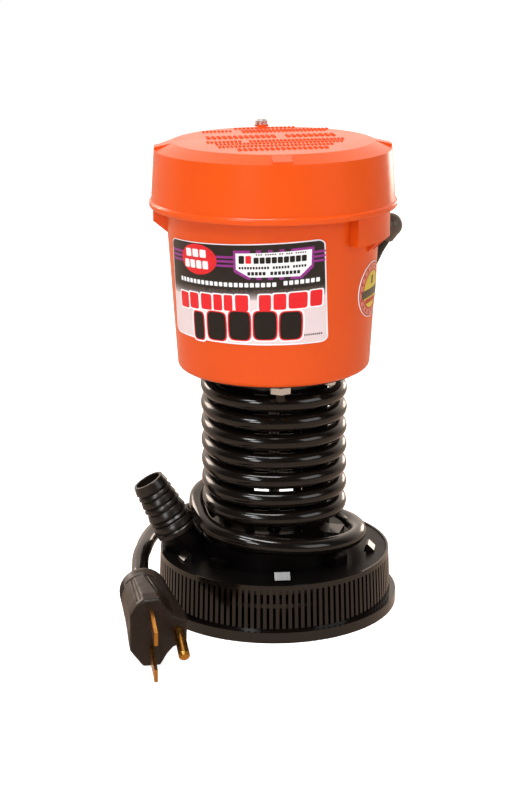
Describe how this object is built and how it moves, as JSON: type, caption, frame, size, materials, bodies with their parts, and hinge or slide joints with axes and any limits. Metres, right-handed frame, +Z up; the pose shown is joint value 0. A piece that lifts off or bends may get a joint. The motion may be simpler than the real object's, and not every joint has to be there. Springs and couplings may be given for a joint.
{
  "type": "evaporative cooler pump",
  "caption": "Circulation pump with a capped motor can on an open column, a strained pump chamber with a barbed outlet, and a wound mains cord with a plug.",
  "frame": {"origin": "centre of the underside of the strainer basket, on the shaft axis", "axes": "+Z up along the shaft axis, -Y towards the front with the large label, -X towards the barbed outlet"},
  "size_m": [0.1298, 0.1582, 0.2189],
  "materials": {
    "orange_plastic": "moulded, glossy",
    "black_plastic": "moulded, glossy",
    "cord_vinyl": "smooth vinyl",
    "plug_vinyl": "moulded vinyl",
    "brass": "bright",
    "steel": "zinc plated",
    "bronze": "sintered",
    "lamination": "stacked sheet",
    "copper": "enamelled wire",
    "label_print": "printed sticker",
    "badge_print": "printed sticker",
    "light_plastic": "moulded",
    "dark_rubber": "matte"
  },
  "bodies": {
    "pump_frame": {"strainer_basket": "black_plastic", "pump_housing": "black_plastic", "chamber_cover": "black_plastic", "cover_screws": "steel", "outlet_nozzle": "black_plastic", "column": "black_plastic", "column_foot_screws": "steel", "motor_can": "orange_plastic", "can_screws": "steel", "cap": "orange_plastic", "cap_screw": "steel", "front_label": "label_print", "side_label": "badge_print", "through_studs": "steel", "stud_nuts": "steel", "spacer_sleeves": "steel", "lower_bracket": "steel", "upper_bracket": "steel", "lower_bearing": "bronze", "upper_bearing": "bronze", "stator_stack": "lamination", "stator_windings": "copper", "thermal_protector": "dark_rubber", "inner_leads": "cord_vinyl", "cord_gland": "cord_vinyl", "cord_lead": "cord_vinyl", "cord_coil": "cord_vinyl", "cord_tail": "cord_vinyl", "plug_body": "plug_vinyl", "plug_blades": "brass", "plug_earth_pin": "brass"},
    "rotor": {"shaft": "steel", "rotor_core": "lamination", "shaft_collars": "steel", "cooling_fan": "light_plastic", "slinger": "dark_rubber", "impeller": "black_plastic"}
  },
  "joints": [
    {"name": "rotor_spin", "type": "hinge", "parent": "pump_frame", "child": "rotor", "pos_m": [0, 0, 0.1], "axis": [0, 0, 1], "continuous": true}
  ]
}
